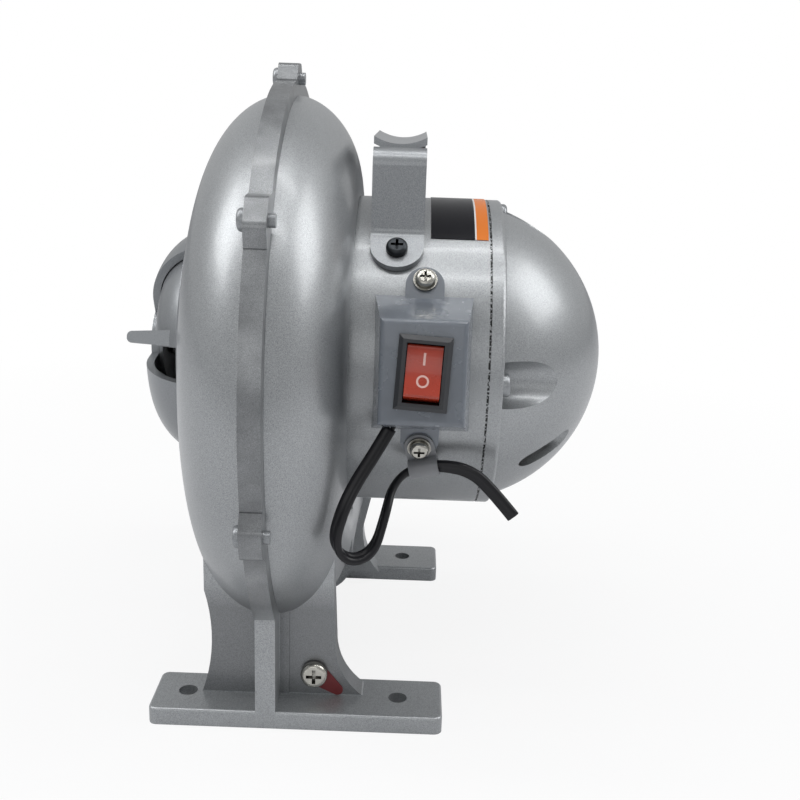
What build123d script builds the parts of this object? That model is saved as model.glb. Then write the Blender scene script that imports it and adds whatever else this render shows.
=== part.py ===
"""Small cast-aluminium blower: volute fan, shaded-pole motor, handle and switch box.

Millimetres. The origin is the centre of the four foot holes on the floor.
+X runs along the shaft from the air inlet to the motor's domed end, the
outlet points to +Y, and +Z is up. Angles called phi turn about the shaft
from straight up (+Z) towards the switch side (-Y).
"""
import math
import os

from build123d import *

os.makedirs("parts", exist_ok=True)

# Shaft and fits
SHAFT_R = 5.0
FIT_GAP = 0.02
RUN_GAP = 0.4
SEAT_GAP = 0.1

# How far a cut runs past its piece or a joined piece sinks into its neighbour,
# and a length that passes right through the product
PAST = 1.0
THROUGH = 200.0

# Volute casing
SEAM_X = -7.5
VOLUTE_R = 80.95
VOLUTE_STEP = 5.5
CASE_LIFT = 14.3
FRONT_DEPTH = 27.0
FRONT_ROUND = 38.0
REAR_DEPTH = 23.5
REAR_ROUND = 30.0
VALLEY_DEPTH = 3.0
VALLEY_RUN = 8.0
CASE_WALL = 3.0
FLANGE_RISE = 4.5
FLANGE_T = 3.15

# Lugs that screw the two casing halves together
LUG_ANGLES = (0.0, 53.3, 108.2, 168.0, 258.0, -53.3)
LUG_TOP_W = 9.0
LUG_BASE_W = 16.5
LUG_RISE = 4.9
LUG_CORNER_R = 3.0
CASE_SCREW_R = 1.9
CASE_SCREW_HEAD_R = 3.2
CASE_SCREW_HEAD_H = 2.2
CASE_SCREW_END = 1.8

# Outlet neck
OUTLET_R = 30.0
NECK_REAR_INSET = 0.8
NECK_CORNER_R = 12.0
OUTLET_END_Y = 94.0
OUTLET_LIFT = 1.5
OUTLET_FLANGE_END_Y = 70.0
BEAD_RISE = 1.4
BEAD_W = 3.0
BEAD_INSET = 3.0

# Feet and pedestals
HOLE_PITCH_X = 68.0
HOLE_PITCH_Y = 108.6
FOOT_HOLE_R = 3.0
FOOT_X0 = -44.7
FOOT_X1 = 48.3
FOOT_W = 22.2
FOOT_T = 5.8
FOOT_CORNER_R = 2.5
FOOT_EDGE_R = 0.9
NEAR_WEB_Y = 54.6
FAR_WEB_Y = 49.0
WEB_T = 9.0
WEB_TOP = 60.0
WEB_SHOULDER_Z = 42.0
WEB_WAIST_Z = 24.0
RECESS_X = -1.2
RECESS_D = 0.6
NEAR_WEB_LEFT = (-28.2, -28.2, -26.0, -29.7)
NEAR_WEB_RIGHT = (12.8, 12.8, 13.6, 24.0)
FAR_WEB_LEFT = (-31.0, -36.4, -31.5, -38.4)
FAR_WEB_RIGHT = (16.3, 21.7, 17.6, 24.6)

# Motor barrel
BARREL_R = 51.7
BARREL_WALL = 3.5
BARREL_END_X = 57.5
BARREL_FLOOR_X = 17.0
FRONT_BEARING_X = 13.0
BEARING_OUT_R = 15.0
BEARING_W = 9.0
BEARING_RACE_OUT_R = 12.2
BEARING_RACE_IN_R = 7.8
BALL_R = 2.0
BALL_COUNT = 9
BEARING_BOSS_WALL = 4.0
SHAFT_HOLE_GAP = 1.5
THROUGH_SCREW_TURN = -1.5
THROUGH_SCREW_INSET = 4.7
THROUGH_SCREW_R = 2.0
THROUGH_SCREW_HEAD_R = 3.6
THROUGH_SCREW_HEAD_H = 2.4
THROUGH_SCREW_L = 26.0
THROUGH_HOLE_EXTRA = 2.0
THROUGH_BOSS_R = 5.2
WIRE_HOLE_R = 5.0

# Domed end bell
DOME_STEP = 0.3
DOME_CENTRE_X = 47.1
RIM_END_X = 62.5
RIM_EDGE_R = 1.2
BELL_WALL = 3.0
SEAM_GROOVE_W = 0.6
SEAM_GROOVE_D = 0.5
SPIGOT_L = 2.6
SPIGOT_T = 2.6
SCALLOP_R = 7.4
SCALLOP_WALL = 2.4
SCALLOP_FLOOR_X = 62.3
SCALLOP_BOSS_END_X = 80.0
VENT_ANGLES = (127.0, 180.0, 233.0)
VENT_INSET = 5.7
VENT_L = 13.5
VENT_W = 7.0
REAR_BEARING_X = 80.0

# Stator and rotor
STATOR_X0 = 26.5
STATOR_X1 = 54.0
STATOR_DEPTH = 22.2
SLOT_COUNT = 12
SLOT_R = 2.6
SLOT_RISE = 5.5
COIL_W = 7.8
COIL_GAP = 5.0
COIL_RISE = 8.0
COIL_EDGE_R = 2.4
COIL_SIDE_GAP = 0.2
ROTOR_RING_T = 2.5
ROTOR_RING_STEP = 1.5
ROTOR_RING_IN_R = 12.0
SHAFT_END_L = 1.0
SHAFT_THREAD_L = 3.0
SHAFT_CHAMFER = 0.8
SHAFT_CORE_R = 7.0
COOLER_X = 68.0
COOLER_R = 33.0
COOLER_HUB_R = 9.0
COOLER_HUB_L = 10.0
COOLER_HUB_BACK = 2.0
COOLER_PLATE_T = 1.5
COOLER_BLADE_H = 7.0
COOLER_BLADE_T = 1.2
COOLER_BLADES = 9

# Impeller
WHEEL_INSET = 24.95
WHEEL_FRONT_GAP = 10.5
WHEEL_BACK_X = 0.0
WHEEL_EYE_R = 31.0
WHEEL_PLATE_T = 1.6
WHEEL_HUB_R = 10.0
WHEEL_HUB_L = 15.0
WHEEL_BOSS_L = 4.0
BLADE_COUNT = 10
BLADE_T = 1.4
BLADE_CURVE_R = 46.0
BLADE_LEAN = 8.0
BLADE_IN_R = 27.0
BLADE_EDGE_GAP = 0.5
NUT_AF = 13.0
NUT_T = 5.0
WASHER_T = 1.2
WASHER_R = 8.0

# Inlet cover and its shutter
THROAT_R = 31.5
COVER_FLANGE_R = 44.0
COVER_FLANGE_T = 3.0
COVER_FRONT_X = -52.7
COVER_FLAT_R = 16.9
COVER_ROUND_R = 23.4
COVER_WALL = 2.5
COVER_LEDGE = 0.5
HUB_PAD_R = 8.5
HUB_PAD_RISE = 0.9
WINDOW_START = 26.0
WINDOW_END = 96.5
WINDOW_IN_R = 12.5
COVER_SCREW_INSET = 2.2
COVER_SCREW_ANGLES = (165.0, 285.0, 345.0)
COVER_SCREW_R = 1.2
COVER_SCREW_HEAD_R = 2.0
COVER_SCREW_HEAD_H = 1.3
COVER_SCREW_L = 5.5
SHUTTER_T = 1.2
SHUTTER_GAP = 0.35
SHUTTER_REACH = 1.5
LEAF_START = 5.0
LEAF_END = 80.0
LEAF_OUT_R = 36.0
LEVER_ANGLE = 75.0
LEVER_R0 = 26.5
LEVER_R1 = 33.0
LEVER_W = 3.6
LEVER_ROOT_W = 5.4
LEVER_TIP_X = -55.5
LEVER_TIP_R = 1.6
RIVET_R = 2.5
RIVET_GAP = 0.05
RIVET_PLAY = 0.15
RIVET_HEAD_R = 4.2
RIVET_HEAD_T = 0.9
RIVET_EDGE_R = 0.5

# Carrying handle
STRAP_W = 16.3
STRAP_T = 2.0
STRAP_X = 28.9
STRAP_LEG_INSET = 4.97
STRAP_RISE = 17.5
STRAP_BEND_R = 4.0
STRAP_DISH = 1.9
STRAP_PAD_PHI = 42.3
STRAP_END_SHIFT = 1.3
STRAP_SCREW_HEAD_R = 3.3
STRAP_SCREW_HEAD_H = 2.4
STRAP_SCREW_R = 2.0
STRAP_SCREW_L = 5.2

# Switch box
BOX_PHI = 81.5
BOX_X = 37.8
BOX_BASE_X = 30.2
BOX_BASE_T = 42.0
BOX_FRONT_X = 24.4
BOX_FRONT_T = 29.4
BOX_RISE = 22.9
BOX_BASE_SINK = 7.7
BOX_WALL = 1.8
BOX_EDGE_R = 1.6
EAR_ARC = 24.81
EAR_HALF_W = 5.8
EAR_T = 2.0
EAR_REACH = 9.0
EAR_END_INSET = 1.4
BOX_SCREW_HEAD_R = 2.9
BOX_SCREW_HEAD_H = 2.2
BOX_SCREW_R = 1.9
BOX_SCREW_L = 6.3
BOX_WASHER_R = 3.6
BOX_WASHER_T = 0.8
BARREL_GAP = 0.3

# Rocker switch
BEZEL_W = 15.0
BEZEL_H = 21.0
BEZEL_T = 2.0
BEZEL_TURN = 3.3
SWITCH_BODY_W = 13.0
SWITCH_BODY_H = 19.0
SWITCH_BODY_L = 11.5
SWITCH_WALL = 1.1
ROCKER_W = 9.9
ROCKER_H = 16.2
ROCKER_SWING = 21.0
ROCKER_FACE_D = 2.6
ROCKER_DISH = 1.1
ROCKER_TAPER = 0.9
ROCKER_EDGE_R = 0.7
ROCKER_FOOT_H = 11.7
ROCKER_FOOT_D = 3.0
ROCKER_BELLY_H = 15.1
ROCKER_BELLY_D = 1.8
ROCKER_PIVOT_D = -2.4
ROCKER_GAP = 0.25
ROCKER_PIN_R = 1.0
ROCKER_PIN_L = 1.6
ROCKER_PIN_GAP = 0.06
TERMINAL_W = 4.8
TERMINAL_T = 0.8
TERMINAL_L = 6.0
TERMINAL_PITCH = 7.0

# Cord and its clip
CORD_TUBE_R = 1.5
CLIP_W = 9.0
CLIP_T = 0.9
CLIP_TILT = 14.0
CLIP_BORE_R = 2.2
CLIP_DROP = 7.2
CLIP_LIFT = 1.9
CLIP_RUN = 5.0
CORE_R = 0.7
CORE_PITCH = 1.6
CORE_RUN = 5.0
CORE_SIDE_GAP = 0.2

# Cord before and after the clip: along the shaft from the middle of the switch
# box, round the barrel along its surface, then height above it
CORD_LOOP = (
    (-8.9, 15.07, 10.9),
    (-12.6, 19.76, 14.6),
    (-18.1, 25.08, 20.3),
    (-21.9, 29.6, 25.6),
    (-24.5, 35.64, 31.1),
    (-19.4, 38.98, 33.4),
    (-12.5, 39.52, 29.2),
    (-9.5, 35.37, 19.8),
    (-7.9, 34.2, 10.3),
)
CORD_TAIL = (
    (16.2, 30.5, 6.3),
    (23.2, 34.83, 10.1),
    (29.6, 39.16, 15.3),
)

# Earth screw, its tag and the plate label
EARTH_X = 6.9
EARTH_Z = 13.8
EARTH_HEAD_R = 4.3
EARTH_HEAD_H = 2.6
EARTH_SCREW_R = 2.0
EARTH_SCREW_L = 7.5
EARTH_HOLE_L = 8.2
TAG_L = 9.5
TAG_ROOT_R = 3.9
TAG_TIP_R = 1.8
TAG_T = 0.5
TAG_TURN = -38.0
LABEL_X0 = 39.2
LABEL_X1 = 57.0
LABEL_PHI0 = -20.0
LABEL_PHI1 = 35.0
LABEL_T = 0.25

# Values worked out from the sizes above
half_step = VOLUTE_STEP / 2
case_front_x = SEAM_X - FRONT_DEPTH
case_rear_x = SEAM_X + REAR_DEPTH
case_bottom_z = CASE_LIFT
axis_h = CASE_LIFT + VOLUTE_R + 2.5 * VOLUTE_STEP
outlet_x = SEAM_X + (REAR_DEPTH - FRONT_DEPTH) / 2
outlet_z = case_bottom_z + OUTLET_R + OUTLET_LIFT
barrel_in_r = BARREL_R - BARREL_WALL
through_screw_pcr = BARREL_R - THROUGH_SCREW_INSET
through_screw_angles = [THROUGH_SCREW_TURN + 90 * index for index in range(4)]
coil_out_r = through_screw_pcr - THROUGH_BOSS_R - COIL_GAP
stator_bore_r = barrel_in_r - STATOR_DEPTH
slot_pcr = stator_bore_r + SLOT_RISE
dome_r = BARREL_R - DOME_STEP
bell_in_r = dome_r - BELL_WALL
vent_middle_r = BARREL_R - VENT_INSET - VENT_L / 2
wheel_r = VOLUTE_R - WHEEL_INSET
wheel_front_x = case_front_x + WHEEL_FRONT_GAP
cover_screw_pcr = COVER_FLANGE_R - COVER_SCREW_INSET
strap_top_z = axis_h + BARREL_R + STRAP_RISE
box_front_d = BARREL_R + BOX_RISE
ear_angles = (
    BOX_PHI - math.degrees(EAR_ARC / BARREL_R),
    BOX_PHI + math.degrees(EAR_ARC / BARREL_R),
)

# Quadrants of the volute: start angle, centre (y, z) and crest radius
QUADRANTS = (
    (180.0, half_step, half_step, VOLUTE_R - VOLUTE_STEP),
    (-90.0, -half_step, half_step, VOLUTE_R),
    (0.0, -half_step, -half_step, VOLUTE_R + VOLUTE_STEP),
    (90.0, half_step, -half_step, VOLUTE_R + 2 * VOLUTE_STEP),
)


def save(name, shape):
    """Write one node."""
    export_step(shape, f"parts/{name}.step")


def group(solids):
    """Several separate solids in one node."""
    return Compound(children=list(solids))


def rod(radius, x0, x1, y=0.0, z=axis_h):
    """Cylinder along X from x0 to x1."""
    return Pos((x0 + x1) / 2, y, z) * Rot(0, 90, 0) * Cylinder(radius, x1 - x0)


def ring(outer, inner, x0, x1):
    """Plain ring round the shaft."""
    return rod(outer, x0, x1) - rod(inner, x0 - PAST, x1 + PAST)


def polar(phi, radius=0.0, x=0.0):
    """Place at angle phi about the shaft: local Z points outwards."""
    return Pos(x, 0, axis_h) * Rot(phi, 0, 0) * Pos(0, 0, radius)


def turned(phi, shape):
    """The same shape turned about the shaft."""
    return Pos(0, 0, axis_h) * Rot(phi, 0, 0) * Pos(0, 0, -axis_h) * shape


def half_space(x0, x1):
    """Slab between two planes across the shaft."""
    return Pos((x0 + x1) / 2, 0, axis_h) * Box(x1 - x0, 2 * THROUGH, 2 * THROUGH)


def sector(phi0, phi1, radius, x0, x1):
    """Pie slice round the shaft, from angle phi0 to phi1."""
    with BuildSketch(Plane.XZ) as sketch:
        with Locations(((x0 + x1) / 2, radius / 2)):
            Rectangle(x1 - x0, radius)
    slice_ = revolve(sketch.sketch, Axis.X, phi1 - phi0)
    return polar(phi0) * slice_


def pan_screw(head_r, head_h, shank_r, length):
    """Cross-recessed pan screw along Z: seat at zero, head above it."""
    head = Pos(0, 0, head_h / 2) * Cylinder(head_r, head_h)
    head = fillet(head.edges().sort_by(Axis.Z)[-1], min(head_h * 0.55, head_r * 0.6))
    shank = Pos(0, 0, -length / 2) * Cylinder(shank_r, length)
    arm = head_r * 1.15
    slot_w = head_r * 0.26
    depth = head_h * 0.6
    cross = Pos(0, 0, head_h) * (Box(arm, slot_w, 2 * depth) + Box(slot_w, arm, 2 * depth))
    return head + shank - cross


def volute_section(radius, inset):
    """Half section of the volute from the shaft line to its crest."""
    front = FRONT_DEPTH - inset
    rear = REAR_DEPTH - inset
    front_corner = radius - FRONT_ROUND
    rear_corner = radius - REAR_ROUND
    front_x = SEAM_X - front
    rear_x = SEAM_X + rear
    floor_x = rear_x - VALLEY_DEPTH
    with BuildSketch(Plane.XZ) as sketch:
        with BuildLine():
            Line((front_x, 0), (front_x, front_corner))
            EllipticalCenterArc((SEAM_X, front_corner), front, FRONT_ROUND - inset, 90)
            EllipticalCenterArc((SEAM_X, rear_corner), rear, REAR_ROUND - inset, 0)
            Bezier(
                (rear_x, rear_corner),
                (rear_x, rear_corner - VALLEY_RUN / 2),
                (floor_x, rear_corner - VALLEY_RUN / 2),
                (floor_x, rear_corner - VALLEY_RUN),
            )
            Line((floor_x, rear_corner - VALLEY_RUN), (floor_x, 0))
            Line((floor_x, 0), (front_x, 0))
        make_face()
    return sketch.sketch


def volute_body(inset):
    """Spiral body of four quarter turns, each about its own centre."""
    core_r = VOLUTE_R - VOLUTE_STEP - FRONT_ROUND - 2 * VOLUTE_STEP
    front_x = case_front_x + inset
    rear_x = case_rear_x - inset - VALLEY_DEPTH
    body = rod(core_r, front_x, rear_x)
    for start, y, z, radius in QUADRANTS:
        quarter = revolve(volute_section(radius, inset), Axis.X, 90)
        body += Pos(0, y, axis_h + z) * Rot(start, 0, 0) * quarter
    return body


def neck_ring(y, inset, round_end):
    """Closed outline of the outlet neck at one distance along Y: boxy at the rear, or round."""
    bottom = case_bottom_z + inset
    with BuildSketch(Plane.XZ.offset(-y)) as sketch:
        if round_end:
            with Locations((outlet_x, outlet_z)):
                Circle(OUTLET_R - inset)
        else:
            height = 2 * OUTLET_R + OUTLET_LIFT - 2 * inset
            middle_z = bottom + height / 2
            front_w = outlet_x - case_front_x - inset
            rear_w = case_rear_x - NECK_REAR_INSET - inset - outlet_x
            with Locations((outlet_x, middle_z)):
                Ellipse(front_w, height / 2)
            with Locations((outlet_x + front_w, middle_z)):
                Rectangle(2 * front_w, 2 * height, mode=Mode.SUBTRACT)
            with Locations((outlet_x + rear_w / 2, middle_z)):
                Rectangle(rear_w, height)
            corners = sketch.vertices().sort_by(Axis.X)[-2:]
            fillet(corners, NECK_CORNER_R - inset)
    return sketch.sketch


def neck(inset, end_y):
    """Outlet neck: its rear side is boxy at the volute, and its free end is round."""
    boxy = neck_ring(half_step, inset, False)
    circle = neck_ring(OUTLET_FLANGE_END_Y, inset, True)
    flare = loft([boxy.faces()[0], circle.faces()[0]])
    pipe_l = end_y - OUTLET_FLANGE_END_Y
    centre_y = OUTLET_FLANGE_END_Y + pipe_l / 2
    pipe = Pos(outlet_x, centre_y, outlet_z) * Rot(90, 0, 0) * Cylinder(OUTLET_R - inset, pipe_l)
    return flare + pipe


def seam_plate():
    """Flat flange that follows the spiral and the neck, both halves of it."""
    x0 = SEAM_X - FLANGE_T
    x1 = SEAM_X + FLANGE_T
    plate = rod(VOLUTE_R / 2, x0, x1)
    for start, y, z, radius in QUADRANTS:
        with BuildSketch(Plane.XZ) as sketch:
            with Locations((SEAM_X, (radius + FLANGE_RISE) / 2)):
                Rectangle(2 * FLANGE_T, radius + FLANGE_RISE)
        quarter = revolve(sketch.sketch, Axis.X, 90)
        plate += Pos(0, y, axis_h + z) * Rot(start, 0, 0) * quarter
    strip_h = 2 * OUTLET_R + OUTLET_LIFT + 2 * FLANGE_RISE
    strip_l = OUTLET_FLANGE_END_Y - half_step
    strip_y = half_step + strip_l / 2
    strip_z = case_bottom_z - FLANGE_RISE + strip_h / 2
    plate += Pos(SEAM_X, strip_y, strip_z) * Box(2 * FLANGE_T, strip_l, strip_h)
    return plate


def lug_places():
    """Frame of each casing lug: local Z outwards, origin on the flange edge."""
    places = []
    for phi in LUG_ANGLES:
        turn = phi % 360
        for start, y, z, radius in QUADRANTS:
            if start % 360 <= turn < start % 360 + 90:
                centre = Pos(SEAM_X, y, axis_h + z)
                places.append(centre * Rot(phi, 0, 0) * Pos(0, 0, radius + FLANGE_RISE))
    return places


def lug():
    """Tapered tab that carries one casing screw."""
    sink = FLANGE_RISE
    outline = Polyline(
        (-LUG_BASE_W / 2, -sink),
        (-LUG_BASE_W / 2, 0),
        (-LUG_TOP_W / 2, LUG_RISE),
        (LUG_TOP_W / 2, LUG_RISE),
        (LUG_BASE_W / 2, 0),
        (LUG_BASE_W / 2, -sink),
        close=True,
    )
    tab = extrude(Plane.YZ * make_face(outline), FLANGE_T, both=True)
    corners = tab.edges().filter_by(Axis.X).sort_by(Axis.Z)[-2:]
    return fillet(corners, LUG_CORNER_R)


def web(left, right, y0):
    """Pedestal web between a foot and the casing."""
    low_z = FOOT_T - PAST
    with BuildSketch(Plane.XZ) as sketch:
        with BuildLine():
            Line((left[0], WEB_TOP), (left[1], WEB_SHOULDER_Z))
            ThreePointArc((left[1], WEB_SHOULDER_Z), (left[2], WEB_WAIST_Z), (left[3], low_z))
            Line((left[3], low_z), (right[3], low_z))
            Bezier((right[3], low_z), (right[2], WEB_WAIST_Z / 2), (right[2], WEB_WAIST_Z))
            Line((right[2], WEB_WAIST_Z), (right[1], WEB_SHOULDER_Z))
            Line((right[1], WEB_SHOULDER_Z), (right[0], WEB_TOP))
            Line((right[0], WEB_TOP), (left[0], WEB_TOP))
        make_face()
    slab = extrude(sketch.sketch, WEB_T)
    return Pos(0, y0 + WEB_T, 0) * slab


def foot(y):
    """Foot bar with two bolt holes."""
    length = FOOT_X1 - FOOT_X0
    bar = Pos((FOOT_X0 + FOOT_X1) / 2, y, FOOT_T / 2) * Box(length, FOOT_W, FOOT_T)
    bar = fillet(bar.edges().filter_by(Axis.Z), FOOT_CORNER_R)
    bar = fillet(bar.faces().sort_by(Axis.Z)[-1].edges(), FOOT_EDGE_R)
    for x in (-HOLE_PITCH_X / 2, HOLE_PITCH_X / 2):
        bar -= Pos(x, y, 0) * Cylinder(FOOT_HOLE_R, 4 * FOOT_T)
    return bar


def stand():
    """Two feet, their webs and the rib that carries the seam down to the foot."""
    foot_y = HOLE_PITCH_Y / 2
    body = foot(-foot_y) + foot(foot_y)
    body += web(NEAR_WEB_LEFT, NEAR_WEB_RIGHT, -NEAR_WEB_Y)
    body += web(FAR_WEB_LEFT, FAR_WEB_RIGHT, FAR_WEB_Y - WEB_T)
    rib_w = foot_y + FOOT_W / 2 - NEAR_WEB_Y + PAST
    rib_y = -foot_y - FOOT_W / 2 + rib_w / 2
    rib_h = WEB_TOP - FOOT_T / 2
    recess_l = FOOT_X1 - RECESS_X
    recess = Box(recess_l, 2 * RECESS_D, WEB_TOP)
    body -= Pos(RECESS_X + recess_l / 2, -NEAR_WEB_Y, FOOT_T + WEB_TOP / 2) * recess
    body += Pos(SEAM_X, rib_y, FOOT_T / 2 + rib_h / 2) * Box(2 * FLANGE_T, rib_w, rib_h)
    return body


def casing_blank():
    """Volute, neck, flange and lugs as one solid lump, before it is hollowed."""
    blank = volute_body(0) + neck(0, OUTLET_END_Y) + seam_plate()
    bead_y = OUTLET_END_Y - BEAD_INSET - BEAD_W / 2
    bead = Pos(outlet_x, bead_y, outlet_z) * Rot(90, 0, 0) * Cylinder(OUTLET_R + BEAD_RISE, BEAD_W)
    bead = fillet(bead.edges(), BEAD_RISE * 0.8)
    blank += bead
    for place in lug_places():
        blank += place * lug()
    return blank


blank = casing_blank()
cavity = volute_body(CASE_WALL) + neck(CASE_WALL, OUTLET_END_Y + PAST)
screw_line = Pos(0, 0, -(FLANGE_RISE - LUG_RISE) / 2)
casing_holes = [
    place * screw_line * Rot(0, 90, 0) * Cylinder(CASE_SCREW_R + SEAT_GAP, 6 * FLANGE_T)
    for place in lug_places()
]


def scroll_front_half():
    """Inlet half of the casing with the inlet throat."""
    half = blank & half_space(-THROUGH, SEAM_X)
    half += rod(COVER_FLANGE_R, case_front_x, case_front_x + CASE_WALL)
    half -= cavity
    half -= rod(THROAT_R, case_front_x - PAST, SEAM_X)
    for hole in casing_holes:
        half -= hole
    for phi in COVER_SCREW_ANGLES:
        place = polar(phi, cover_screw_pcr, case_front_x) * Rot(0, 90, 0)
        half -= place * Cylinder(COVER_SCREW_R, 2 * COVER_SCREW_L)
    return half


def bearing_seat(x0):
    """Boss with a bearing bore, open towards +X."""
    boss = rod(BEARING_OUT_R + BEARING_BOSS_WALL, x0 - PAST, x0 + BEARING_W)
    return boss, rod(BEARING_OUT_R + FIT_GAP, x0, x0 + BEARING_W + PAST)


def motor_body():
    """Rear half of the casing, the motor barrel and the feet in one casting."""
    rear = blank & half_space(SEAM_X, THROUGH)
    base = stand() - (blank & half_space(-THROUGH, SEAM_X))
    body = rear + base
    barrel = rod(BARREL_R, case_rear_x - VALLEY_DEPTH - PAST, BARREL_END_X)
    body += barrel
    body -= cavity
    body -= rod(barrel_in_r, BARREL_FLOOR_X, BARREL_END_X + PAST)
    screw_z = axis_h + through_screw_pcr
    for phi in through_screw_angles:
        post = rod(THROUGH_BOSS_R, BARREL_FLOOR_X - PAST, BARREL_END_X, z=screw_z)
        post &= rod(barrel_in_r + PAST, 0, THROUGH)
        hole_x0 = BARREL_END_X - THROUGH_SCREW_L
        hole = rod(THROUGH_SCREW_R, hole_x0, BARREL_END_X + PAST, z=screw_z)
        body += turned(phi, post)
        body -= turned(phi, hole)
    boss, bore = bearing_seat(FRONT_BEARING_X)
    body += boss
    body -= bore
    body -= rod(SHAFT_R + SHAFT_HOLE_GAP, 0, FRONT_BEARING_X + PAST)
    for hole in casing_holes:
        body -= hole
    body -= polar(BOX_PHI, BARREL_R - BARREL_WALL / 2, BOX_X) * Cylinder(WIRE_HOLE_R, 2 * BARREL_WALL)
    for phi in ear_angles:
        body -= polar(phi, BARREL_R, BOX_X) * Cylinder(BOX_SCREW_R + FIT_GAP, 4 * BARREL_WALL)
    for phi in (STRAP_PAD_PHI, -STRAP_PAD_PHI):
        body -= polar(phi, BARREL_R, STRAP_X) * Cylinder(STRAP_SCREW_R + FIT_GAP, 4 * BARREL_WALL)
    body -= earth_frame() * Cylinder(EARTH_SCREW_R + FIT_GAP, 2 * EARTH_HOLE_L)
    return body


def casing_screws():
    """Pan screws through the casing lugs."""
    screws = []
    length = 2 * FLANGE_T + CASE_SCREW_END
    for place in lug_places():
        screw = pan_screw(CASE_SCREW_HEAD_R, CASE_SCREW_HEAD_H, CASE_SCREW_R, length)
        screws.append(place * screw_line * Pos(-FLANGE_T, 0, 0) * Rot(0, -90, 0) * screw)
    return group(screws)


def cover_shape(inset, extra=0.0):
    """Solid dome of the inlet cover, moved inwards by an inset and cut short by extra."""
    flange_x = case_front_x - COVER_FLANGE_T
    round_r = COVER_ROUND_R - inset
    front_x = COVER_FRONT_X + inset
    centre_x = COVER_FRONT_X + COVER_ROUND_R
    run = centre_x - flange_x - extra
    end_r = COVER_FLAT_R + math.sqrt(round_r ** 2 - run ** 2)
    mid = math.acos(run / round_r) / 2
    middle = (centre_x - round_r * math.cos(mid), COVER_FLAT_R + round_r * math.sin(mid))
    with BuildSketch(Plane.XZ) as sketch:
        with BuildLine():
            Line((flange_x + extra, 0), (front_x, 0))
            Line((front_x, 0), (front_x, COVER_FLAT_R))
            ThreePointArc((front_x, COVER_FLAT_R), middle, (flange_x + extra, end_r))
            Line((flange_x + extra, end_r), (flange_x + extra, 0))
        make_face()
    return Pos(0, 0, axis_h) * revolve(sketch.sketch, Axis.X, 360)


def inlet_cover():
    """Dished cover with two sector windows."""
    flange_x = case_front_x - COVER_FLANGE_T
    cover = cover_shape(0) + rod(COVER_FLANGE_R, flange_x, case_front_x)
    cover += rod(HUB_PAD_R, COVER_FRONT_X - HUB_PAD_RISE, COVER_FRONT_X + PAST)
    bore_r = THROAT_R + COVER_WALL - COVER_LEDGE
    cover -= cover_shape(COVER_WALL)
    cover -= rod(bore_r, flange_x - COVER_LEDGE, case_front_x + PAST)
    window = sector(WINDOW_START, WINDOW_END, 2 * COVER_FLANGE_R, COVER_FRONT_X - PAST, flange_x)
    window -= rod(WINDOW_IN_R, COVER_FRONT_X - 2 * PAST, flange_x + PAST)
    for turn in (0, 180):
        cover -= turned(turn, window)
    for phi in COVER_SCREW_ANGLES:
        place = polar(phi, cover_screw_pcr, flange_x) * Rot(0, 90, 0)
        cover -= place * Cylinder(COVER_SCREW_R + SEAT_GAP, 4 * COVER_FLANGE_T)
    pad_x = COVER_FRONT_X - HUB_PAD_RISE
    cover -= rod(RIVET_R + RIVET_GAP, pad_x - PAST, COVER_FRONT_X + COVER_WALL + PAST)
    return cover


def inlet_cover_screws():
    """Three small screws that hold the inlet cover to the casing."""
    screws = []
    for phi in COVER_SCREW_ANGLES:
        screw = pan_screw(COVER_SCREW_HEAD_R, COVER_SCREW_HEAD_H, COVER_SCREW_R - FIT_GAP, COVER_SCREW_L)
        place = polar(phi, cover_screw_pcr, case_front_x - COVER_FLANGE_T)
        screws.append(place * Rot(0, -90, 0) * screw)
    return group(screws)


def air_shutter():
    """Turning shutter inside the cover: hub, two leaves and the finger lever."""
    inset = COVER_WALL + SHUTTER_GAP
    shell = cover_shape(inset, -SHUTTER_REACH) - cover_shape(inset + SHUTTER_T, -SHUTTER_REACH)
    shell &= rod(LEAF_OUT_R, COVER_FRONT_X, SEAM_X)
    body = shell & rod(WINDOW_IN_R + PAST, COVER_FRONT_X, SEAM_X)
    leaf = sector(LEAF_START, LEAF_END, COVER_FLANGE_R, COVER_FRONT_X, SEAM_X)
    for turn in (0, 180):
        body += shell & turned(turn, leaf)
    lever_l = case_front_x - COVER_FLANGE_T - SHUTTER_REACH - LEVER_TIP_X
    outline = Polyline(
        (0, -LEVER_W / 2),
        (lever_l, -LEVER_ROOT_W / 2),
        (lever_l, LEVER_ROOT_W / 2),
        (0, LEVER_W / 2),
        close=True,
    )
    lever = extrude(make_face(outline), LEVER_R1 - LEVER_R0)
    lever = fillet(lever.edges().filter_by(Axis.Z).sort_by(Axis.X)[:2], LEVER_TIP_R)
    lever = polar(LEVER_ANGLE, LEVER_R0, LEVER_TIP_X) * lever
    lever -= cover_shape(inset + SHUTTER_T / 2, -SHUTTER_REACH)
    body += lever
    body -= rod(RIVET_R + RIVET_GAP, COVER_FRONT_X, SEAM_X)
    return body


def shutter_rivet():
    """Rivet that the shutter turns on."""
    top_x = COVER_FRONT_X - HUB_PAD_RISE
    low_x = COVER_FRONT_X + COVER_WALL + SHUTTER_GAP + SHUTTER_T + RIVET_PLAY
    head = rod(RIVET_HEAD_R, top_x - RIVET_HEAD_T, top_x)
    head = fillet(head.edges().sort_by(Axis.X)[0], RIVET_EDGE_R)
    tail = rod(RIVET_HEAD_R, low_x, low_x + RIVET_HEAD_T)
    return head + rod(RIVET_R, top_x, low_x) + tail


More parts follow.
